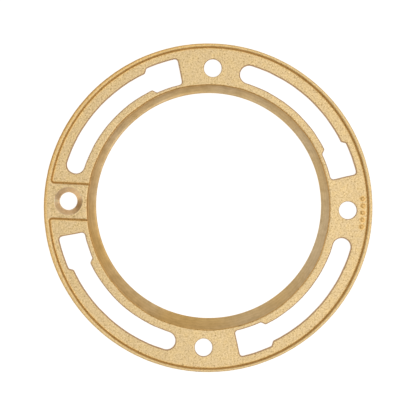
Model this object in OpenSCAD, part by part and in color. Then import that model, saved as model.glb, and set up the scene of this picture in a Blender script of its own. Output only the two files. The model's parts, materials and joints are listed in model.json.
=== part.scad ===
// Toilet flange: a flat cast brass ring that fastens a toilet bowl to the floor.
// The ring is one casting. Its underside lies on Z = 0, Z is its axis, and the land with
// the countersunk screw hole is on -X. Angles run counter-clockwise, seen from above.

/* [Ring] */
// Outside diameter of the ring
outer_d = 177.8; // [176.5:0.1:182]
// Height of the rim above the underside
ring_h = 6.35; // [6:0.05:9.5]
// Radius of the rounded edge around the top of the rim
rim_round = 0.6; // [0.2:0.1:0.8]
// Radius of the rounded edge around the underside
foot_round = 0.5; // [0.2:0.1:1.5]

/* [Recess] */
// Depth of the recess floor below the rim
recess_depth = 1.5; // [0.8:0.1:1.8]
// Diameter of the recess floor
recess_d = 172.7; // [171:0.1:173.2]
// How far the recess wall leans outwards over its depth
wall_lean = 0.9; // [0.3:0.1:1]
// Width of the land at the recess floor
land_w = 20.1; // [18:0.1:24]
// Radius of the corners between the land and the rim, at the recess floor
land_corner_r = 1.3; // [0.8:0.1:2.5]

/* [Bore] */
// Diameter of the turned bore
bore_d = 121.7; // [119:0.1:123]
// Distance of the turned bore from the centre of the ring, along X
bore_off_x = 0.2; // [-0.5:0.1:0.5]
// Distance of the turned bore from the centre of the ring, along Y
bore_off_y = 1.2; // [-1.2:0.1:1.2]
// Diameter of the cast opening above the bevel
throat_d = 131.4; // [129.5:0.1:132]
// Distance of the cast opening from the centre of the ring, along X
throat_off_x = 0.2; // [-0.4:0.1:0.4]
// Distance of the cast opening from the centre of the ring, along Y
throat_off_y = 0.4; // [-0.4:0.1:0.4]
// Height of the top of the bevel above the underside
bevel_top = 4.15; // [3.8:0.05:4.15]
// Angle between the bevel and the axis of the ring
bevel_angle = 56; // [56:1:64]

/* [Pattern] */
// Angle by which the holes, the slots and the land beside the X axis are cast towards +Y
pattern_lean = 0.85; // [0:0.05:1]

/* [Screw holes] */
// Diameter of each screw hole
screw_hole_d = 9.525; // [6:0.005:10.5]
// Diameter of the circle that the screw holes lie on
hole_circle_d = 151.2; // [149:0.1:153]
// Diameter of the countersink at the top of the land
countersink_d = 15; // [12:0.1:17]
// Full angle of the countersink
countersink_angle = 82; // [80:1:100]

/* [Bolt slots] */
// Diameter of the circle that the slots follow
slot_circle_d = 150.6; // [149:0.1:152]
// Width of a slot where it holds the bolt's shank
slot_w = 9.6; // [7.5:0.1:11]
// Width of a slot where it takes the bolt's head
slot_head_w = 14; // [12:0.1:15]
// Angle from a screw hole to the wide end of the next slot
slot_start = 13.9; // [11:0.1:16]
// Angle from a screw hole to the end of the wide part
slot_step = 26.2; // [22:0.1:32]
// Angle from a screw hole to the rounded end of the slot
slot_end = 78.3; // [60:0.1:80]
// Slope of the two steps between the wide and the narrow part
slot_step_angle = 50; // [40:1:70]
// Corner radius at the wide end
slot_corner_r = 1.6; // [0.5:0.1:3]

/* [Casting mark] */
// Number of raised pips beside the screw hole on +X
pip_count = 5; // [1:1:7]
// Diameter of a pip
pip_d = 2.2; // [1:0.1:2.6]
// Height of a pip above the recess floor
pip_h = 0.3; // [0.1:0.05:0.6]
// Radius of the arc that the pips lie on
pip_arc_r = 83.6; // [82:0.1:84]
// Angle between one pip and the next
pip_pitch = 2.6; // [2.2:0.1:3]

/* [Hidden] */
$fn = 128;
brass = "#dcbf8c";
// How far a cut runs past the face that it opens
past = 1;
// How far a rounding runs past the two faces that it joins, so that they cross cleanly
overlap = 0.03;
// Length of a cut that runs past both faces of the ring
through = ring_h + 2 * past;
outer_r = outer_d / 2;
floor_z = ring_h - recess_depth;
recess_r = recess_d / 2;
// Outward lean of the recess wall for each unit of height
draft = wall_lean / recess_depth;
throat_r = throat_d / 2;
slot_r = slot_circle_d / 2;
// Number of screw holes, each with a bolt slot after it
hole_count = 4;
// Angle by which the parts of a slot run past one another
slot_lap = 1;

// A point on the plan, from its distance to the axis and its angle
function on_plan(r, angle) = [r * cos(angle), r * sin(angle)];

// The angle at which the ring is cast for an angle of the evenly spaced pattern
function leaned(angle) = angle + pattern_lean * cos(angle);

// One half of the ring's outside profile, with both of its outer edges rounded
module outside_profile() {
    difference() {
        square([outer_r, ring_h]);
        edge_trim(ring_h, rim_round, -1);
        edge_trim(0, foot_round, 1);
    }
}

// What a rounding takes off the profile's outer edge at a height, where side points inwards
module edge_trim(height, radius, side) {
    middle = [outer_r - radius, height + side * radius];
    difference() {
        translate([middle[0], side > 0 ? height - past : middle[1]]) square(radius + past);
        translate(middle) circle(radius);
    }
}

// The opening through the ring: a straight throat, a bevel below it and the turned bore
module pipe_opening() {
    bevel_foot_r = throat_r - (bevel_top + past) * tan(bevel_angle);
    translate([throat_off_x, throat_off_y, bevel_top]) cylinder(r = throat_r, h = ring_h);
    translate([throat_off_x, throat_off_y, -past])
        cylinder(r1 = bevel_foot_r, r2 = throat_r, h = bevel_top + past);
    translate([bore_off_x, bore_off_y, -past]) cylinder(d = bore_d, h = ring_h);
}

// A cone that opens upwards from the recess floor with the draft of the recess walls
module drafted_cone(radius) {
    height = recess_depth + past;
    cylinder(r1 = radius, r2 = radius + draft * height, h = height);
}

// The land across the recess on -X, with the same draft on both of its walls
module land() {
    height = recess_depth + 2 * past;
    foot = land_w / 2;
    top = foot - draft * height;
    translate([-outer_r - past, 0, 0]) rotate([90, 0, 90]) linear_extrude(outer_r / 2)
        polygon([[-foot, 0], [foot, 0], [top, height], [-top, height]]);
}

// The rounded corner between the land's wall on +Y and the rim
module land_corner() {
    corner_y = land_w / 2 + land_corner_r;
    reach = recess_r - land_corner_r;
    corner = [-sqrt(reach * reach - corner_y * corner_y), corner_y];
    far = corner * (outer_r + past) / reach;
    difference() {
        linear_extrude(recess_depth + 2 * past)
            polygon([corner, [corner[0], 0], [far[0], 0], far]);
        translate(corner) drafted_cone(land_corner_r + overlap);
    }
}

// What is sunk below the rim and the land
module recess() {
    translate([0, 0, floor_z]) difference() {
        drafted_cone(recess_r);
        rotate(leaned(180) - 180) {
            land();
            land_corner();
            mirror([0, 1, 0]) land_corner();
        }
    }
}

// A flat closed band of a given width along the slot circle
module slot_band(width) {
    difference() {
        circle(slot_r + width / 2);
        circle(slot_r - width / 2);
    }
}

// What the rounded corner leaves at the wide end, on the inner (side -1) or outer (side 1) arc
module slot_corner(side, start) {
    arc_r = slot_r + side * slot_head_w / 2;
    middle_r = arc_r - side * slot_corner_r;
    middle = on_plan(middle_r, start + asin(slot_corner_r / middle_r));
    difference() {
        polygon([
            middle,
            on_plan(middle_r * cos(asin(slot_corner_r / middle_r)), start),
            on_plan(arc_r + side * past, start - slot_lap),
            middle * (arc_r + side * past) / middle_r
        ]);
        translate(middle) circle(slot_corner_r + overlap);
    }
}

// The wide part of a slot, with square corners, from its end to the two sloped steps
module slot_head(start, step) {
    slope = tan(slot_step_angle);
    half = slot_head_w / 2;
    intersection() {
        slot_band(slot_head_w);
        polygon([
            [0, 0],
            on_plan(2 * outer_r, start),
            on_step(step, half + past, -past / slope),
            on_step(step, 0, half / slope),
            on_step(step, -half - past, -past / slope)
        ]);
    }
}

// A point on the plan, from how far it lies outside the slot circle and past the steps
function on_step(step, outwards, onwards) =
    on_plan(slot_r + outwards, step) + on_plan(onwards, step + 90);

// One bolt slot, seen from above: wide for the bolt's head, then narrow for its shank
module bolt_slot(start, step, end) {
    end_r = slot_w / 2 + overlap;
    tip = end - asin(end_r / slot_r);
    difference() {
        slot_head(start, step);
        slot_corner(-1, start);
        slot_corner(1, start);
    }
    intersection() {
        slot_band(slot_w);
        polygon([
            [0, 0],
            on_plan(2 * outer_r, step - slot_lap),
            on_plan(2 * outer_r, tip)
        ]);
    }
    translate(on_plan(slot_r, tip)) circle(end_r);
}

// One screw hole and the bolt slot after it, turned along the pattern
module hole_and_slot(turn) {
    translate(on_plan(hole_circle_d / 2, leaned(turn))) cylinder(d = screw_hole_d, h = through);
    linear_extrude(through)
        bolt_slot(leaned(turn + slot_start), leaned(turn + slot_step), leaned(turn + slot_end));
}

// The countersink in the top of the land
module countersink() {
    slope = tan(countersink_angle / 2);
    depth = (countersink_d - screw_hole_d) / 2 / slope;
    translate(on_plan(hole_circle_d / 2, leaned(180))) translate([0, 0, ring_h - depth])
        cylinder(d1 = screw_hole_d, d2 = countersink_d + 2 * past * slope, h = depth + past);
}

// A row of plain pips on the recess floor, between the rim and the screw hole on +X
module pips() {
    for (i = [0 : pip_count - 1])
        translate(on_plan(pip_arc_r, (i - (pip_count - 1) / 2) * pip_pitch))
            translate([0, 0, floor_z - pip_h]) cylinder(d = pip_d, h = 2 * pip_h);
}

// The whole casting
module flange_ring() {
    color(brass) {
        difference() {
            rotate_extrude() outside_profile();
            recess();
            pipe_opening();
            countersink();
            for (i = [0 : hole_count - 1])
                translate([0, 0, -past]) hole_and_slot(i * 360 / hole_count);
        }
        pips();
    }
}

flange_ring();
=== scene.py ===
"""Looks of a sand-cast brass toilet flange ring, lying on a plain white floor and seen from above."""
import json
import math

import bmesh
import bpy
import numpy as np
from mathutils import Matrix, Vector, kdtree, noise
from mathutils.geometry import delaunay_2d_cdt


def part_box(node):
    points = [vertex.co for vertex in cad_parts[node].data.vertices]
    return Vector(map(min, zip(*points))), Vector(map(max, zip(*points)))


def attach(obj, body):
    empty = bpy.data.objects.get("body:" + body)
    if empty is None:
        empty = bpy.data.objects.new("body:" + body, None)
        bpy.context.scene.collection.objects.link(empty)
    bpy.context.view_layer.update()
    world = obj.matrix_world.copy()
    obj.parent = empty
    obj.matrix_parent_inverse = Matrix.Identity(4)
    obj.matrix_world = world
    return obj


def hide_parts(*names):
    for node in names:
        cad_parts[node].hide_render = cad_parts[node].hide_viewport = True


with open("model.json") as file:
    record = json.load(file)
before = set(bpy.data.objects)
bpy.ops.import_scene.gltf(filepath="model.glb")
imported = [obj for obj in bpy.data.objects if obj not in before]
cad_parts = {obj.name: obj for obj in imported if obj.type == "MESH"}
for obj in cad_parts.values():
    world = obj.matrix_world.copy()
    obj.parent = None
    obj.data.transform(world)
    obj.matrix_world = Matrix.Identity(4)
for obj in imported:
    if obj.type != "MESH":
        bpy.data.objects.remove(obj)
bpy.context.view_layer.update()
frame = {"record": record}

MM = 0.001  # the mesh is worked out in millimetres and written in metres

# ---- sizes in millimetres, from the frame ----
mounts = {mount["name"]: mount for mount in frame["record"]["mounts"]}
box_low, box_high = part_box("flange_ring")
OUTER_R = (box_high.x - box_low.x) / 2 / MM
RING_H = (box_high.z - box_low.z) / MM
FLOOR_Z = mounts["wax_ring_face"]["pos_m"][2] / MM
BORE_R = mounts["pipe_opening"]["dims"]["r_mm"]
BORE_X, BORE_Y = (place / MM for place in mounts["pipe_opening"]["pos_m"][:2])
HOLE_R = mounts["floor_screws_y"]["dims"]["hole_r_mm"]
HOLE_CIRCLE_R = mounts["floor_screws_y"]["dims"]["spacing_y_mm"] / 2

# ---- sizes in millimetres and angles in degrees, the same as the CAD part's ----
RIM_ROUND, FOOT_ROUND = 0.6, 0.5
RECESS_R, WALL_LEAN = 86.35, 0.9
LAND_HALF, LAND_CORNER = 10.05, 1.3
THROAT_R, THROAT_X, THROAT_Y = 65.7, 0.2, 0.4
BEVEL_TOP, BEVEL_TAN = 4.15, math.tan(math.radians(56))
SINK_R, SINK_TAN = 7.5, math.tan(math.radians(41))
SLOT_R, SLOT_HALF, HEAD_HALF = 75.3, 4.8, 7.0
SLOT_START, SLOT_STEP, SLOT_END = 13.9, 26.2, 78.3
SLOT_CORNER, STEP_TAN = 1.6, math.tan(math.radians(50))
PATTERN_LEAN = 0.85
PIPS, PIP_R, PIP_H, PIP_ARC_R, PIP_PITCH = 5, 1.1, 0.3, 83.6, 2.6
HOLES = 4                # screw holes, each with a bolt slot after it
QUARTER = 360 / HOLES    # angle from one screw hole to the next
LAND_SIDE = 180          # direction of the land, before the pattern's lean
SUNK_HOLE = 2            # the screw hole in the land, counted from 0 on +X

# ---- sizes in millimetres that only the looks have ----
FOOT_BLEND, HEAD_BLEND = 0.36, 0.30  # half widths of the blends at the foot and head of the recess walls
EDGE, BREAK = 0.25, 0.25             # rounding of the upper edges of slots and holes, and of the lower ones
STEP_CORNER = 1.0                    # rounding of the two steps of a slot
SLOT_DRAFT, HOLE_DRAFT = 0.46, 0.16  # how much wider a slot or a screw hole is at the top, on each side
RIM_DRAFT = 0.06                     # taper of the outer wall, away from the mould's parting line
PARTING_Z = 3.1                      # height of the parting line
PARTING_HALF, PARTING_OUT = 0.12, 0.02  # half width of the parting line, and how far it stands out
CREST_R, SHOULDER_R = 86.6, 87.7     # where the rim's crest and its outer rounding start
RECESS_OFF = np.array([0.30, -0.12])      # how far the cast recess lies off the ring's centre
RECESS_OVAL = np.array([0.9939, 1.0015])  # how narrow and how long the recess came out along X and Y
THROAT_LEAN = 0.62                    # width on the plan of the throat's sloping wall
THROAT_OVAL, THROAT_LOW = 0.36, 0.17  # how much wider the throat came out along Y, and nearer to -Y
THROAT_WIDE = 0.08                    # how much wider it came out all round
CAST_REACH = 0.12                     # how far the throat's foot reaches in over the bevel
LIP = 0.9                             # width of the flatter lip between the bevel and the bore
PIP_DOME_R = 1.2 * PIP_R              # radius of a pip where its dome meets the floor
FAR = 99                              # further than anything on the ring

# ---- spacing of the mesh in millimetres ----
DENSE = 0.05                         # along a path before it is thinned
TOP_PITCH, UNDER_PITCH = 0.62, 1.8   # inside the top face and the underside
TOP_SPARE, UNDER_SPARE = 0.36, 0.8   # least distance there to the points of edges and lines
TOP_FILL_R = 87.9                    # radius that the points inside the top face stay within
THROAT_CLEAR = 0.5                   # least distance of those points from an even throat
EDGE_CLEAR, BORE_CLEAR = 1.2, 1      # least distances from the edge and the bore inside the underside
LAND_PITCH, RIM_PITCH = 0.6, 0.58    # along the land's walls and along the rim
RIM_POINTS, HOLE_POINTS = 960, 64    # points round the outer wall and round a screw hole
WALL_LINES = (-0.62, -0.36, -0.13, 0.09, 0.32, 0.56, 0.78, 0.98, 1.2)  # lines outside the recess floor's edge
WALL_ZONE = (-0.95, 1.5)             # the band along that edge that only these lines have points in
LINE_START = 1.45                    # how far outside the throat these lines start
PIP_RINGS = ((0.3, 5), (0.62, 10), (0.86, 14), (1.1, 18), (1.36, 22))  # radius and points of rings on a pip
PIP_ZONE_R = 1.62                    # radius round a pip that only these rings have points in

CAST, TURNED, SUNK = 0, 1, 2  # the finishes, in the order of the ring's materials
verts, faces, finish = [], [], []


# ---- points on the plan ----

def polar(r, deg):
    """The point at a distance and an angle from the ring's centre."""
    return np.array([r * math.cos(math.radians(deg)), r * math.sin(math.radians(deg))])


def arc(r, deg0, deg1, pitch=DENSE):
    """Points of an arc round the ring's centre."""
    n = max(2, int(abs(math.radians(deg1 - deg0)) * r / pitch))
    a = np.radians(np.linspace(deg0, deg1, n + 1))
    return np.stack([r * np.cos(a), r * np.sin(a)], 1)


def circle(centre, r, n):
    """The n points of a circle, counter-clockwise."""
    a = np.linspace(0, 2 * math.pi, n, endpoint=False)
    return np.stack([centre[0] + r * np.cos(a), centre[1] + r * np.sin(a)], 1)


def line(p, q, pitch=DENSE):
    """Points of a straight line."""
    n = max(2, int(np.linalg.norm(q - p) / pitch))
    return p + (q - p) * np.linspace(0, 1, n + 1)[:, None]


def unit(v):
    """A vector of length 1 in the same direction."""
    return v / np.linalg.norm(v)


def trimmed(path, length, at_end):
    """A dense path without its first or last stretch of a given length."""
    if length <= 0:
        return path
    path = path[::-1] if at_end else path
    run = np.r_[0, np.cumsum(np.linalg.norm(np.diff(path, axis=0), axis=1))]
    path = path[run > length]
    return path[::-1] if at_end else path


def round_corner(p0, corner, p3, turn, radius, steps=40):
    """A round corner from p0 to p3 as a cubic curve, without its two ends. turn is how far it turns."""
    pull = 4 / 3 * math.tan(turn / 4) * radius
    p1 = p0 + unit(corner - p0) * pull
    p2 = p3 + unit(corner - p3) * pull
    t = np.linspace(0, 1, steps)[1:-1, None]
    return (1 - t) ** 3 * p0 + 3 * t * (1 - t) ** 2 * p1 + 3 * t * t * (1 - t) * p2 + t ** 3 * p3


def rounded_loop(parts):
    """Joins parts, each a path and the radius of the corner after it, into one closed dense loop."""
    cuts, turns, out = [], [], []
    for i, (path, radius) in enumerate(parts):
        after = parts[(i + 1) % len(parts)][0]
        bend = float(unit(path[-1] - path[-2]) @ unit(after[1] - after[0]))
        turns.append(math.acos(np.clip(bend, -1, 1)))
        cuts.append(radius * math.tan(turns[i] / 2))
    for i, (path, radius) in enumerate(parts):
        out.append(trimmed(trimmed(path, cuts[i], at_end=True), cuts[i - 1], at_end=False))
        if radius > 0:
            after = trimmed(parts[(i + 1) % len(parts)][0], cuts[i], at_end=False)
            out.append(round_corner(out[-1][-1], path[-1], after[0], turns[i], radius))
    return np.concatenate(out)


def thinned(loop, longest=0.85, turn=9.0, shortest=0.14):
    """Fewer points on a dense closed loop: close together where it bends, far apart where it doesn't.
    A point is kept after the longest stretch, or after the shortest if the loop has turned enough degrees."""
    keep, run, bend = [0], 0.0, 0.0
    for i in range(1, len(loop)):
        after = loop[(i + 1) % len(loop)]
        u, v = loop[i] - loop[i - 1], after - loop[i]
        run += float(np.linalg.norm(u))
        size = np.linalg.norm(u) * np.linalg.norm(v)
        if size > 0:
            bend += math.degrees(math.acos(float(np.clip(u @ v / size, -1, 1))))
        due = run >= longest or (bend >= turn and run >= shortest)
        if due and np.linalg.norm(after - loop[0]) > shortest:
            keep.append(i)
            run, bend = 0.0, 0.0
    return loop[keep]


def outward(loop):
    """Unit normals of a counter-clockwise loop, away from what it encloses."""
    along = np.roll(loop, -1, 0) - np.roll(loop, 1, 0)
    along /= np.linalg.norm(along, axis=1)[:, None]
    return np.stack([along[:, 1], -along[:, 0]], 1)


def inside(loop, p):
    """True if a point lies inside a closed loop."""
    x, y = loop[:, 0], loop[:, 1]
    x2, y2 = np.roll(x, -1), np.roll(y, -1)
    crosses = (y > p[1]) != (y2 > p[1])
    at = x + (p[1] - y) / np.where(crosses, y2 - y, 1) * (x2 - x)
    return bool(np.count_nonzero(crosses & (p[0] < at)) % 2)


def wobble(points, size, amount, seed):
    """Smooth uneven shifts along a loop, as a sand mould gives. size is the length of one unevenness."""
    return np.array([noise.noise(Vector((p[0] / size, p[1] / size, seed))) * amount for p in points])


def lobe(points, deg, narrow=3):
    """1 on the side of the ring that lies at an angle, falling to 0 on its far side."""
    return ((1 + points @ polar(1, deg) / np.hypot(*points.T)) / 2) ** narrow


def leaned(deg):
    """The angle at which the ring is cast for an angle of the evenly spaced pattern."""
    return deg + PATTERN_LEAN * math.cos(math.radians(deg))


# ---- the top face: its height, and the dark casting skin and painted shade on it ----

land_lean = math.radians(leaned(LAND_SIDE) - LAND_SIDE)
# Turns a point on the plan from the land as it is cast to one that lies exactly on -X
LAND_TURN = np.array([
    [math.cos(land_lean), math.sin(land_lean)],
    [-math.sin(land_lean), math.cos(land_lean)],
])


def beyond_recess(points):
    """How far points lie outside the recess floor, towards the rim or the land. Negative on the floor."""
    x, y = LAND_TURN @ ((points - RECESS_OFF).T / RECESS_OVAL[:, None])
    to_rim = np.hypot(x, y) - RECESS_R + LAND_CORNER
    to_land = np.where(x < 0, LAND_HALF - np.abs(y), -FAR) + LAND_CORNER
    corner = np.hypot(np.maximum(to_rim, 0), np.maximum(to_land, 0))
    return np.minimum(np.maximum(to_rim, to_land), 0) + corner - LAND_CORNER


def recess_line(s):
    """The line on the plan that stays s outside the edge of the recess floor, from land to land."""
    r, half, corner = RECESS_R + s, LAND_HALF - s, LAND_CORNER + s
    start_r = THROAT_R + LINE_START
    corner_y = LAND_HALF + LAND_CORNER
    corner_x = -math.sqrt((RECESS_R - LAND_CORNER) ** 2 - corner_y * corner_y)
    start = np.array([-math.sqrt(start_r ** 2 - half * half), half])
    land = line(start, np.array([corner_x, half]), LAND_PITCH)[:-1]
    end = math.atan2(corner_y, corner_x)
    steps = 9 if corner > 0.9 else 7
    sweep = np.linspace(1.5 * math.pi, end, steps)
    turn = np.stack([corner_x + corner * np.cos(sweep), corner_y + corner * np.sin(sweep)], 1)
    side = np.concatenate([land, turn])
    rim = arc(r, math.degrees(end), -math.degrees(end), RIM_PITCH)[1:-1]
    whole = np.concatenate([side, rim, side[::-1] * (1, -1)])
    return whole @ LAND_TURN * RECESS_OVAL + RECESS_OFF


def pip_centres():
    """The middles of the pips."""
    return [polar(PIP_ARC_R, (i - (PIPS - 1) / 2) * PIP_PITCH) for i in range(PIPS)]


def from_pip(points):
    """Distance on the plan to the middle of the nearest pip."""
    return np.min([np.hypot(*(points - centre).T) for centre in pip_centres()], axis=0)


def blend(t, w):
    """A ramp that starts at t = 0, eased in over w on both sides."""
    return np.where(t < -w, 0, np.where(t > w, t, (t + w) ** 2 / (4 * w)))


def top_z(points):
    """Height of the top face: floor, drafted walls, land, rim and pips."""
    s = beyond_recess(points)
    slope = (RING_H - FLOOR_Z) / WALL_LEAN
    dome = (1 - np.clip(from_pip(points) / PIP_DOME_R, 0, 1) ** 2) ** 1.5
    return FLOOR_Z + slope * (blend(s, FOOT_BLEND) - blend(s - WALL_LEAN, HEAD_BLEND)) + PIP_H * dome


def rim_skin_and_painted_shade(points):
    """The trace of skin on the crest of the rim, with painted shade on the crest and the outer rounding that
    makes the side towards 145° to 150° darker.
    """
    r = np.hypot(*points.T)
    # Painted shade: these lobes darken the side of the rim towards 145° to 150°.
    on_crest = 0.05 + 0.11 * lobe(points, deg=145)
    outside = 0.36 * lobe(points, deg=150, narrow=5)
    return on_crest * np.clip(r - CREST_R, 0, 1) + outside * np.clip(r - SHOULDER_R, 0, 1)


def hump(distance, width):
    """A soft mark: 1 where the distance is 0, fading out over a width."""
    return np.exp(-(distance / width) ** 2)


def wall_skin_and_painted_shade(points):
    """The skin with painted shade along the slope of the recess walls, the rim's skin and painted shade, and
    painted shade round each pip.
    """
    darkest, inner_width, outer_width, pip_width = 0.15, 0.45, 0.55, 0.55
    s = beyond_recess(points) - darkest
    # Casting skin with painted shade along the recess and land walls, darkest just inside their slope.
    on_slope = 0.5 * hump(s, np.where(s < 0, inner_width, outer_width))
    # Painted shade: a darker ring round each pip, like the shadowed edge of a raised mark.
    painted_shade_round_pips = 0.42 * hump(from_pip(points) - 0.8 * PIP_R, pip_width)
    return np.maximum(on_slope, rim_skin_and_painted_shade(points)) + painted_shade_round_pips


# ---- rows of vertices and the walls between them ----

def add_row(points, z, cast, skin_and_shade):
    """Adds one row of vertices and gives their numbers. cast is 1 on sand-cast metal and 0 on turned metal.
    The skin value is 1 where the dark casting skin is left, 0 where it is tumbled off; in places it also
    holds painted shade."""
    first = len(verts)
    z, skin_and_shade = (np.broadcast_to(v, (len(points),)) for v in (z, skin_and_shade))
    verts.extend((p[0], p[1], h, cast, k) for p, h, k in zip(points, z, skin_and_shade))
    return list(range(first, len(verts)))


def add_strip(a, b, kind):
    """Adds the faces between two closed rows of the same length, with one finish."""
    n = len(a)
    faces.extend((a[i], a[(i + 1) % n], b[(i + 1) % n], b[i]) for i in range(n))
    finish.extend([kind] * n)


def sleeve(loop, normal, profile):
    """A wall around a loop, from top to bottom. Gives its first and its last row.
    profile lists (distance into the metal, height, skin and painted shade, finish of the strip above)."""
    rows = []
    for distance, z, skin_and_shade, kind in profile:
        rows.append(add_row(loop + normal * distance, z, kind == CAST, skin_and_shade))
        if len(rows) > 1:
            add_strip(rows[-2], rows[-1], kind)
    return rows[0], rows[-1]


def quarter_round(radius, steps):
    """A convex quarter round from face to wall, as (distance in from the wall, depth below the face)."""
    turns = [math.pi / 2 * i / steps for i in range(steps + 1)]
    return [(radius * (1 - math.sin(t)), radius * (1 - math.cos(t))) for t in turns]


def outer_wall():
    """The outside of the ring: its rounded rim, tapered wall with the parting line, and rounded foot."""
    skin_left, parting_skin_left = 0.12, 0.05
    upper_z, lower_z = 4.4, 1.8  # where the wall starts to bend towards the parting line
    rim = circle((0, 0), OUTER_R, RIM_POINTS)
    # The rim's skin and painted shade, carried down its outer rounding.
    skin_and_shade = rim_skin_and_painted_shade(rim)
    profile = [(d + RIM_DRAFT, RING_H - h, skin_and_shade, CAST) for d, h in quarter_round(RIM_ROUND, steps=6)]
    profile.append((RIM_DRAFT / 2, upper_z, skin_left, CAST))
    profile.append((PARTING_OUT, PARTING_Z + PARTING_HALF, skin_left, CAST))
    profile.append((0, PARTING_Z, parting_skin_left, CAST))
    profile.append((PARTING_OUT, PARTING_Z - PARTING_HALF, skin_left, CAST))
    profile.append((RIM_DRAFT / 2, lower_z, skin_left, CAST))
    for d, h in reversed(quarter_round(FOOT_ROUND, steps=4)):
        profile.append((d + RIM_DRAFT, h, skin_left * h / FOOT_ROUND, CAST))
    return sleeve(rim, -outward(rim), profile)


def cast_wall_profile(draft):
    """Profile of the wall of a slot or a screw hole, from the recess floor down to the underside."""
    middle_skin, foot_skin = 0.85, 0.7
    profile = [(d + draft, FLOOR_Z - h, h / EDGE, CAST) for d, h in quarter_round(EDGE, steps=5)]
    profile.append((draft / 2, (FLOOR_Z - EDGE + BREAK) / 2, middle_skin, CAST))
    for d, h in reversed(quarter_round(BREAK, steps=3)):
        profile.append((d, h, foot_skin * h / BREAK, CAST))
    return profile


def countersink_profile():
    """Profile of the screw hole in the land: the countersink with eased edges, and the drilled wall below."""
    wide = SINK_R - HOLE_R
    foot_z = RING_H - wide / SINK_TAN
    rim_drop, wall_top_drop, wall_foot_z = 0.1, 0.16, 1.6
    # The drilled wall below the countersink is made darker: by 0.5 along it and by 0.3 at its foot.
    skin_left, foot_skin_left = 0.5, 0.3
    profile = [(wide + 0.14, RING_H, 0, SUNK), (wide + 0.04, RING_H - 0.03, 0, SUNK)]
    for f in (0.96, 0.7, 0.4, 0.12):
        profile.append((wide * f, foot_z + (RING_H - rim_drop - foot_z) * f, 0, SUNK))
    profile.append((0.06, foot_z - 0.02, 0, SUNK))
    profile.append((0, foot_z - wall_top_drop, skin_left, SUNK))
    profile.append((0, wall_foot_z, skin_left, TURNED))
    for d, h in reversed(quarter_round(BREAK, steps=3)):
        profile.append((d, h, foot_skin_left, TURNED))
    return profile


def slot_loop(turn):
    """The outline of the bolt slot that comes after an angle of the pattern, as a counter-clockwise loop."""
    start, step, end = (leaned(turn + deg) for deg in (SLOT_START, SLOT_STEP, SLOT_END))
    tip = end - math.degrees(math.asin(SLOT_HALF / SLOT_R))
    head_out, head_in = SLOT_R + HEAD_HALF, SLOT_R - HEAD_HALF
    neck_out, neck_in = SLOT_R + SLOT_HALF, SLOT_R - SLOT_HALF
    onwards = polar((HEAD_HALF - SLOT_HALF) / STEP_TAN, step + 90)
    outer = polar(neck_out, step) + onwards
    inner = polar(neck_in, step) + onwards
    outer_deg = turn + math.degrees(math.atan2(outer[1], outer[0])) % QUARTER
    inner_deg = turn + math.degrees(math.atan2(inner[1], inner[0])) % QUARTER
    return thinned(rounded_loop([
        (arc(head_out, start, step), STEP_CORNER),
        (line(polar(head_out, step), outer), STEP_CORNER),
        (arc(neck_out, outer_deg, tip), 0),
        (polar(SLOT_R, tip) + arc(SLOT_HALF, tip, tip + 180), 0),
        (arc(neck_in, tip, inner_deg), STEP_CORNER),
        (line(inner, polar(head_in, step)), STEP_CORNER),
        (arc(head_in, step, start), SLOT_CORNER),
        (line(polar(head_in, start), polar(head_out, start)), SLOT_CORNER),
    ]))


def bolt_slot(k):
    """The wall of one bolt slot, a little uneven as it was cast."""
    loop = slot_loop(QUARTER * k)
    normal = outward(loop)
    shift = wobble(loop, size=8, amount=0.12, seed=20 + k) + wobble(loop, size=2.2, amount=0.05, seed=31 + k)
    return sleeve(loop + normal * shift[:, None], normal, cast_wall_profile(SLOT_DRAFT))


def screw_hole(k):
    """The wall of one screw hole: countersunk in the land, and as it was cast elsewhere."""
    loop = circle(polar(HOLE_CIRCLE_R, leaned(QUARTER * k)), HOLE_R, HOLE_POINTS)
    normal = outward(loop)
    if k == SUNK_HOLE:
        return sleeve(loop, normal, countersink_profile())
    shift = wobble(loop, size=5, amount=0.08, seed=40 + k)
    return sleeve(loop + normal * shift[:, None], normal, cast_wall_profile(HOLE_DRAFT))


def throat_angles():
    """Angles of the points round the throat, closer together where the walls of the land reach it."""
    zone, margin, fine_step = 1.6, 0.1, 0.17
    even = np.linspace(0, 360, int(2 * math.pi * THROAT_R / TOP_PITCH), endpoint=False)
    half = math.degrees(math.asin(LAND_HALF / THROAT_R))
    walls = [leaned(LAND_SIDE) + side * half for side in (-1, 1)]
    coarse = [deg for deg in even if min(abs(deg - wall) for wall in walls) > zone]
    fine = [wall + e for wall in walls for e in np.arange(margin - zone, zone, fine_step)]
    return np.array(sorted(coarse + fine))


# Rows of the throat's wall, as (how far out from its foot, how far down from its head, share of the stain and
# painted shade)
THROAT_PROFILE = [(0.82, 0.04, 0.1), (0.66, 0.15, 0.4), (0.44, 0.42, 0.9), (0.22, 0.74, 1), (0.08, 0.93, 1)]
# Rows of the bevel, from its head to the lip
BEVEL_STEPS = [0.02, 0.07, 0.25, 0.5, 0.75, 0.93, 1.0]
# Rows of the lip, as (share of its width that is left, depth below its outer edge)
LIP_PROFILE = [(0.85, 0.05), (0.5, 0.19), (0.22, 0.31), (0.09, 0.38), (0.02, 0.45), (0, 0.54)]
# Rows of the broken edge at the foot of the bore, as (distance into the metal, height)
BORE_FOOT_PROFILE = [(0, 0.12), (0.04, 0.05), (0.16, 0)]


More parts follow.
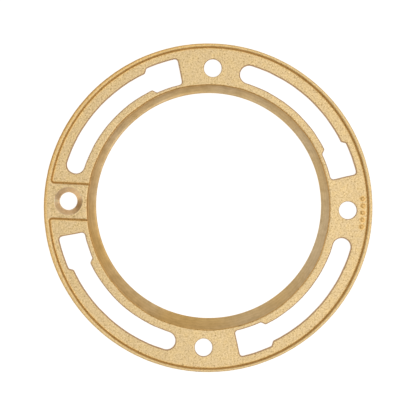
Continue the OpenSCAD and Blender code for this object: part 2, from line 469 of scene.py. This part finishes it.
def throat_and_bore():
    """The walls of the throat, the bevel and the bore. Gives the row on the top face and the one below."""
    painted_shade_side, bright_side, cut_away = 120, 15, 0.3
    deg = throat_angles()
    u = np.stack([np.cos(np.radians(deg)), np.sin(np.radians(deg))], 1)
    centre = np.array([THROAT_X, THROAT_Y])
    around = centre + u * THROAT_R

    def row(r, z, cast, skin_and_shade):
        return add_row(centre + u * r[:, None], z, cast, skin_and_shade)

    throat_r = THROAT_R + THROAT_WIDE - THROAT_OVAL * np.cos(np.radians(2 * deg)) - THROAT_LOW * u[:, 1]
    waves = wobble(around, size=11, amount=0.22, seed=3.1)
    throat_r += waves + wobble(around, size=3.5, amount=0.12, seed=8.4)
    head_r, foot_r = throat_r + THROAT_LEAN, throat_r - CAST_REACH
    head = centre + u * head_r[:, None]
    head_z = top_z(head)
    foot_z = BEVEL_TOP - (THROAT_R - foot_r) / BEVEL_TAN
    # Casting skin at the throat's foot, with painted shade that makes it darker towards 120° and lighter on
    # the far side.
    stain_and_painted_shade = 0.64 + 0.16 * np.cos(np.radians(deg - painted_shade_side))
    rows = [row(head_r, head_z, 1, wall_skin_and_painted_shade(head))]
    for out, down, share in THROAT_PROFILE:
        z = head_z + (foot_z - head_z) * down
        rows.append(row(foot_r + out * (head_r - foot_r), z, 1, share * stain_and_painted_shade))
    rows.append(row(foot_r, foot_z, 1, stain_and_painted_shade))
    cast_strips = len(rows) - 1

    offset = np.array([BORE_X, BORE_Y]) - centre
    along = u @ offset
    bore_r = along + np.sqrt(BORE_R ** 2 - offset @ offset + along ** 2)
    lip = LIP * (1 + wobble(around, size=23, amount=0.5, seed=6.6))
    lip_r = bore_r + lip
    lip_z = BEVEL_TOP - (THROAT_R - lip_r) / BEVEL_TAN
    # Painted shade: the turned bevel, lip and bore get darker away from 15°, and are brightest on that side.
    painted_side_shade = 0.13 - 0.13 * np.cos(np.radians(deg - bright_side))
    for f in BEVEL_STEPS:
        skin_and_shade = painted_side_shade + (stain_and_painted_shade - cut_away) * (1 - f) ** 2
        rows.append(row(foot_r + (lip_r - foot_r) * f, foot_z + (lip_z - foot_z) * f, 0, skin_and_shade))
    for left, drop in LIP_PROFILE:
        rows.append(row(bore_r + lip * left, lip_z - drop, 0, painted_side_shade))
    for distance, z in BORE_FOOT_PROFILE:
        rows.append(row(bore_r + distance, z, 0, painted_side_shade))
    for i, (above, below) in enumerate(zip(rows, rows[1:])):
        add_strip(above, below, CAST if i < cast_strips else TURNED)
    return rows[0], rows[-1]


# ---- the two faces between the walls ----

def plan_of(row):
    """The points on the plan of a row of vertices."""
    return np.array([verts[i][:2] for i in row])


def hex_grid(pitch, rng, rows=1.16, shake=0.14):
    """Points all over the ring's plan, in shifted rows, each a little out of place.
    rows is how many there are for each column, and shake is the most that a point is off, in pitches."""
    n = int(OUTER_R / pitch) + 2
    i, j = np.meshgrid(np.arange(-n, n + 1), np.arange(-int(n * rows), int(n * rows) + 1))
    grid = np.stack([(i + 0.5 * (j % 2)) * pitch, j * pitch * math.sqrt(0.75)], -1).reshape(-1, 2)
    return grid + rng.uniform(-shake, shake, grid.shape) * pitch


def outside_holes(grid, rows):
    """The points of a grid that lie in none of the holes that closed rows of vertices leave in a face."""
    free = np.ones(len(grid), bool)
    for row in rows:
        loop = plan_of(row)
        low, high = loop.min(0), loop.max(0)
        for i in np.flatnonzero(free & ((grid > low) & (grid < high)).all(1)):
            free[i] = not inside(loop, grid[i])
    return grid[free]


def away_from(points, others, spare):
    """The points that are more than spare away from all of the others."""
    tree = kdtree.KDTree(len(others))
    for i, p in enumerate(others):
        tree.insert((p[0], p[1], 0), i)
    tree.balance()
    return [tuple(p) for p in points if tree.find((p[0], p[1], 0))[2] > spare]


def add_face(loops, lines, fill, spare, height, skin_and_shade):
    """Fills the plan between closed rows of vertices with triangles. The first loop is the outermost.
    Edges of triangles follow the lines. The points of fill are used where they are clear of the others."""
    points, numbers, owner, edges = [], [], [], []
    for k, row in enumerate(loops):
        first, n = len(points), len(row)
        points.extend(map(tuple, plan_of(row)))
        numbers.extend(row)
        owner.extend([k] * n)
        edges.extend((first + i, first + (i + 1) % n) for i in range(n))
    for path in lines:
        first = len(points)
        points.extend(map(tuple, path))
        edges.extend((first + i, first + i + 1) for i in range(len(path) - 1))
    points.extend(away_from(fill, points, spare))
    extra = np.array(points[len(numbers):])
    numbers.extend(add_row(extra, height(extra), 1, skin_and_shade(extra)))
    owner.extend([-1] * len(extra))

    all_triangles, same_place = 0, 1e-5
    made = delaunay_2d_cdt([Vector(p) for p in points], edges, [], all_triangles, same_place)
    found, triangles, origins = made[0], made[2], made[3]
    if len(found) != len(points):
        raise RuntimeError("lines of the plan cross or meet")
    outlines = [plan_of(row) for row in loops]
    for triangle in triangles:
        a, b, c = (origins[i][0] for i in triangle)
        k = owner[a]
        if k >= 0 and owner[b] == k and owner[c] == k:
            middle = (np.array(points[a]) + points[b] + points[c]) / 3
            if inside(outlines[k], middle) != (k == 0):
                continue
        faces.append((numbers[a], numbers[b], numbers[c]))
        finish.append(CAST)


def top_face(rows, rng):
    """The recess floor, its walls, the land, the rim and the pips."""
    lines = [recess_line(s) for s in WALL_LINES]
    grid = hex_grid(TOP_PITCH, rng)
    s = beyond_recess(grid)
    off_walls = (s < WALL_ZONE[0]) | (s > WALL_ZONE[1])
    off_throat = np.hypot(grid[:, 0] - THROAT_X, grid[:, 1] - THROAT_Y) > THROAT_R + THROAT_CLEAR
    off_edge = np.hypot(*grid.T) < TOP_FILL_R
    grid = outside_holes(grid[off_walls & off_throat & off_edge], rows[1:])
    for centre in pip_centres():
        rings = [circle(centre, r, n) for r, n in PIP_RINGS]
        grid = grid[np.hypot(*(grid - centre).T) > PIP_ZONE_R]
        grid = np.concatenate([grid, *rings])
    add_face(rows, lines, grid, TOP_SPARE, top_z, wall_skin_and_painted_shade)


def under_face(rows, rng):
    """The flat underside, which has no skin on it."""
    grid = hex_grid(UNDER_PITCH, rng)
    off_edge = np.hypot(*grid.T) < OUTER_R - EDGE_CLEAR
    off_bore = np.hypot(grid[:, 0] - BORE_X, grid[:, 1] - BORE_Y) > BORE_R + BORE_CLEAR
    grid = outside_holes(grid[off_edge & off_bore], rows[2:])
    add_face(rows, [], grid, UNDER_SPARE, lambda points: 0, lambda points: 0)


def build_ring():
    """Fills verts, faces and finish with the whole casting."""
    rng = np.random.default_rng(7)
    walls = [outer_wall(), throat_and_bore()]
    for k in range(HOLES):
        walls.append(bolt_slot(k))
        walls.append(screw_hole(k))
    tops, unders = zip(*walls)
    top_face(tops, rng)
    under_face(unders, rng)


def roughen(mesh, cast):
    """Sinks the sand-cast faces unevenly, by 0.2 mm at most. The underside stays flat."""
    mean, deepest, flat_z = 0.06, 0.2, 0.3
    n = len(mesh.vertices)
    co, no = np.empty(n * 3), np.empty(n * 3)
    mesh.vertices.foreach_get("co", co)
    mesh.vertex_normals.foreach_get("vector", no)
    co, no = co.reshape(-1, 3), no.reshape(-1, 3)
    depth = np.full(n, mean)
    for size, amount in ((7, 0.05), (2.1, 0.04), (0.8, 0.035)):
        depth += [amount * noise.noise(Vector(p) / size) for p in co / MM]
    fade = cast * np.where(co[:, 2] < flat_z * MM, 0.0, 1.0)
    co -= no * (np.clip(depth, 0, deepest) * fade * MM)[:, None]
    mesh.vertices.foreach_set("co", co.ravel())
    mesh.update()


# ---- materials; the scales of their patterns are per metre ----

def node(tree, kind, **values):
    """Adds a node and sets its properties and its sockets by name, with _ for a space."""
    made = tree.nodes.new(kind)
    for key, value in values.items():
        if hasattr(made, key):
            setattr(made, key, value)
        else:
            made.inputs[key.replace("_", " ")].default_value = value
    return made


def noise_of(tree, coords, scale, detail=2.0, rough=0.5):
    """Cloudy noise, mostly between 0.25 and 0.75."""
    made = node(tree, "ShaderNodeTexNoise", Scale=scale, Detail=detail, Roughness=rough)
    tree.links.new(coords, made.inputs["Vector"])
    return made.outputs["Fac"]


def rings_of(tree, coords, scale, distortion):
    """Wavy rings round the Z axis."""
    made = node(
        tree, "ShaderNodeTexWave",
        wave_type="RINGS", rings_direction="Z", Scale=scale, Distortion=distortion,
    )
    tree.links.new(coords, made.inputs["Vector"])
    return made.outputs["Fac"]


def ramp(tree, fac, stops):
    """A colour for each value, from a list of (value, colour)."""
    made = tree.nodes.new("ShaderNodeValToRGB")
    while len(made.color_ramp.elements) < len(stops):
        made.color_ramp.elements.new(0.5)
    for element, (at, colour) in zip(made.color_ramp.elements, stops):
        element.position = at
        element.color = (*colour, 1)
    tree.links.new(fac, made.inputs["Fac"])
    return made.outputs["Color"]


def multiplied(tree, a, b, fac=None):
    """One colour times another. Where the socket fac is given, it says how much of that shows."""
    made = node(tree, "ShaderNodeMix", data_type="RGBA", blend_type="MULTIPLY")
    if fac:
        tree.links.new(fac, made.inputs["Factor"])
    else:
        made.inputs["Factor"].default_value = 1.0
    tree.links.new(a, made.inputs["A"])
    tree.links.new(b, made.inputs["B"])
    return made.outputs["Result"]


def spread(tree, value, low, high, from_low=0.25, from_high=0.75):
    """Maps a stretch of values to low..high. Without from_low and from_high, it is where noise mostly is."""
    made = node(
        tree, "ShaderNodeMapRange",
        clamp=True, From_Min=from_low, From_Max=from_high, To_Min=low, To_Max=high,
    )
    tree.links.new(value, made.inputs["Value"])
    return made.outputs["Result"]


def bump(tree, height, strength, distance, under=None):
    """A bump in the surface, on top of another one if that is given."""
    made = node(tree, "ShaderNodeBump", Strength=strength, Distance=distance)
    tree.links.new(height, made.inputs["Height"])
    if under:
        tree.links.new(under, made.inputs["Normal"])
    return made.outputs["Normal"]


def grey(v):
    """A neutral colour."""
    return (v, v, v)


def skin_and_shade_of(tree):
    """How much dark casting skin, and painted shade, a spot has, from the mesh."""
    return node(tree, "ShaderNodeAttribute", attribute_name="skin_and_shade", attribute_type="GEOMETRY").outputs["Fac"]


def away_from_rim(tree, where):
    """1 inside the recess, falling to 0.35 on the rim, whose crest is tumbled smoother."""
    wall_start, wall_end = (RECESS_R + 0.3) * MM, (RECESS_R + 1.2) * MM
    radius = node(tree, "ShaderNodeVectorMath", operation="LENGTH")
    tree.links.new(where, radius.inputs[0])
    return spread(tree, radius.outputs["Value"], 1.0, 0.35, wall_start, wall_end)


def metal(name):
    """A new metal. Gives the material, its node tree, its shader's inputs and the place on the object."""
    made = bpy.data.materials.new(name)
    made.use_nodes = True
    tree = made.node_tree
    surface = tree.nodes["Principled BSDF"].inputs
    surface["Metallic"].default_value = 1.0
    return made, tree, surface, tree.nodes.new("ShaderNodeTexCoord").outputs["Object"]


def cast_brass():
    """Tumbled sand-cast brass: a sandy grain with soft patches of tone, and dark skin left in the corners,
    darker still where shade is painted on the walls, round the pips and to one side.
    """
    made, t, surface, where = metal("cast_brass")
    grain = noise_of(t, where, scale=2300, rough=0.6)
    sand = noise_of(t, where, scale=1050, rough=0.6)
    patches = noise_of(t, where, scale=330, detail=3.0, rough=0.55)
    clouds = noise_of(t, where, scale=48)
    tone = ramp(t, patches, [(0.3, (0.755, 0.56, 0.282)), (0.7, (0.83, 0.64, 0.365))])
    speck = ramp(t, sand, [
        (0.24, (0.48, 0.40, 0.30)),
        (0.38, (0.89, 0.86, 0.80)),
        (0.5, grey(1.0)),
        (0.72, (1.16, 1.17, 1.24)),
    ])
    fine = ramp(t, grain, [(0.3, grey(0.82)), (0.52, grey(1.01)), (0.72, grey(1.1))])
    soft = ramp(t, clouds, [(0.3, (0.965, 0.955, 0.93)), (0.7, grey(1.0))])
    colour = multiplied(t, multiplied(t, tone, soft), fine)
    colour = multiplied(t, colour, speck, away_from_rim(t, where))
    # Darker browns for casting skin and for painted shade, from the same value.
    stain_and_painted_shade = ramp(t, skin_and_shade_of(t), [
        (0, grey(1.0)),
        (0.2, (1.07, 0.95, 0.70)),
        (0.5, (0.86, 0.68, 0.44)),
        (1, (0.42, 0.28, 0.13)),
    ])
    t.links.new(multiplied(t, colour, stain_and_painted_shade), surface["Base Color"])
    t.links.new(spread(t, patches, 0.44, 0.58), surface["Roughness"])
    low = bump(t, sand, strength=0.9, distance=0.00012)
    t.links.new(bump(t, grain, strength=0.6, distance=0.00006, under=low), surface["Normal"])
    return made


def machined(name, low_tone, high_tone, centre):
    """Machined brass with fine lines round a centre.
    Gives the material, its node tree, its colour's input, the place from that centre and a tone."""
    made, t, surface, place = metal(name)
    move = node(t, "ShaderNodeMapping", Location=(-centre[0] * MM, -centre[1] * MM, 0))
    t.links.new(place, move.inputs["Vector"])
    where = move.outputs["Vector"]
    patches = noise_of(t, where, scale=260, detail=3.0, rough=0.6)
    tone = ramp(t, patches, [(0.3, low_tone), (0.7, high_tone)])
    t.links.new(spread(t, patches, 0.38, 0.5), surface["Roughness"])
    lines = rings_of(t, where, scale=900, distortion=0.6)
    low = bump(t, noise_of(t, where, scale=900), strength=0.4, distance=0.0001)
    t.links.new(bump(t, lines, strength=0.12, distance=0.00005, under=low), surface["Normal"])
    return made, t, surface["Base Color"], where, tone


def turned_brass():
    """The bevel and the bore: soft clouds and streaks round the bore, darker towards the casting skin, and
    with painted shade that darkens the side away from 15°.
    """
    tones = (0.80, 0.56, 0.25), (0.94, 0.69, 0.34)
    made, t, colour, where, tone = machined("turned_brass", *tones, (BORE_X, BORE_Y))
    clouds = noise_of(t, where, scale=21)
    soft = ramp(t, clouds, [(0.36, (0.98, 0.90, 0.74)), (0.64, (0.98, 1.02, 1.24))])
    rings = rings_of(t, where, scale=230, distortion=5.0)
    streaks = ramp(t, rings, [(0.1, (0.965, 0.96, 0.95)), (0.9, grey(1.03))])
    dark = ramp(t, skin_and_shade_of(t), [(0, grey(1.0)), (1, (0.5, 0.38, 0.25))])
    tone = multiplied(t, multiplied(t, tone, soft), streaks)
    t.links.new(multiplied(t, tone, dark), colour)
    return made


def sunk_brass():
    """The countersink: paler, with painted highlights and painted reflections that brighten and darken it by
    angle round the hole.
    """
    tones = (0.82, 0.63, 0.39), (0.91, 0.74, 0.51)
    centre = polar(HOLE_CIRCLE_R, leaned(LAND_SIDE))
    made, t, colour, where, tone = machined("sunk_brass", *tones, centre)
    around = node(t, "ShaderNodeTexGradient", gradient_type="RADIAL")
    t.links.new(where, around.inputs["Vector"])
    # The painted reflection's brightness at each share of a turn, the same at 1 as at 0
    painted_reflection = [(0, 1.3), (0.06, 0.92), (0.3, 0.92), (0.43, 0.48), (0.5, 0.62), (0.57, 1.25), (0.72, 1.0)]
    painted_reflection += [(0.94, 0.84), (1, 1.3)]
    stops = [(at, (v, v ** 1.15, v ** 1.4)) for at, v in painted_reflection]
    t.links.new(multiplied(t, tone, ramp(t, around.outputs["Fac"], stops)), colour)
    return made


# ---- the scene ----

def make_ring():
    """The ring as one smooth mesh, which stands for the CAD part's only node."""
    build_ring()
    data = np.array(verts)
    places, cast, skin_and_shade = data[:, :3] * MM, data[:, 3], data[:, 4]
    mesh = bpy.data.meshes.new("flange_ring_looks")
    mesh.from_pydata(places.tolist(), [], faces)
    for material in (cast_brass(), turned_brass(), sunk_brass()):
        mesh.materials.append(material)
    mesh.polygons.foreach_set("material_index", finish)
    bm = bmesh.new()
    bm.from_mesh(mesh)
    bmesh.ops.recalc_face_normals(bm, faces=bm.faces)
    bm.to_mesh(mesh)
    bm.free()
    mesh.polygons.foreach_set("use_smooth", [True] * len(mesh.polygons))
    mesh.attributes.new("skin_and_shade", "FLOAT", "POINT").data.foreach_set("value", skin_and_shade.astype(np.float32))
    roughen(mesh, cast)
    ring = bpy.data.objects.new("flange_ring_looks", mesh)
    bpy.context.collection.objects.link(ring)
    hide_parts("flange_ring")
    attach(ring, "root")


def make_floor():
    """A plain white floor, with a glow of its own that keeps it evenly white."""
    half = 3.0
    corners = [(x * half, y * half, 0) for x, y in ((-1, -1), (1, -1), (1, 1), (-1, 1))]
    mesh = bpy.data.meshes.new("studio_floor")
    mesh.from_pydata(corners, [], [(0, 1, 2, 3)])
    white = bpy.data.materials.new("studio_white")
    white.use_nodes = True
    surface = white.node_tree.nodes["Principled BSDF"].inputs
    surface["Base Color"].default_value = (0.25, 0.25, 0.25, 1)
    surface["Roughness"].default_value = 0.9
    surface["Specular IOR Level"].default_value = 0.0
    surface["Emission Color"].default_value = (1, 1, 1, 1)
    surface["Emission Strength"].default_value = 0.92
    mesh.materials.append(white)
    floor = bpy.data.objects.new("studio_floor", mesh)
    bpy.context.collection.objects.link(floor)


def make_light(at=(0.5, -0.05, 1.4), size=1.5, power=7.1):
    """One large round light above the ring and to its right, pointed at its centre."""
    light = bpy.data.lights.new("overhead", "AREA")
    light.shape = "DISK"
    light.size = size
    light.energy = power
    made = bpy.data.objects.new("overhead", light)
    made.location = at
    made.rotation_euler = (-Vector(at)).to_track_quat("-Z", "Y").to_euler()
    made.visible_camera = False
    bpy.context.collection.objects.link(made)


def make_studio():
    """The floor, a pale sky, the light, and colours shown as they are."""
    make_floor()
    world = bpy.data.worlds.new("studio")
    world.use_nodes = True
    sky = world.node_tree.nodes["Background"].inputs
    sky["Color"].default_value = (1.0, 0.995, 0.985, 1)
    sky["Strength"].default_value = 0.55
    scene = bpy.context.scene
    scene.world = world
    make_light()
    scene.view_settings.view_transform = "Standard"
    scene.view_settings.look = "None"
    scene.view_settings.exposure = 0
    scene.view_settings.gamma = 1


def make_camera():
    """Straight above the ring, far off, and turned a little, as the ring is in the photograph."""
    distance, width = 2.0, 0.22462    # metres above the rim, and metres across the picture
    aside, up = -0.000076, -0.000135  # metres off the ring's centre, along the picture's sides
    turn = math.radians(1.9)
    cam = bpy.data.cameras.new("camera")
    cam.sensor_width = 36.0
    cam.lens = cam.sensor_width * distance / width
    cam.clip_end = 20
    made = bpy.data.objects.new("camera", cam)
    made.location = (
        aside * math.cos(turn) - up * math.sin(turn),
        aside * math.sin(turn) + up * math.cos(turn),
        RING_H * MM + distance,
    )
    made.rotation_euler = (0, 0, turn)
    bpy.context.collection.objects.link(made)
    bpy.context.scene.camera = made


make_ring()
make_studio()
make_camera()
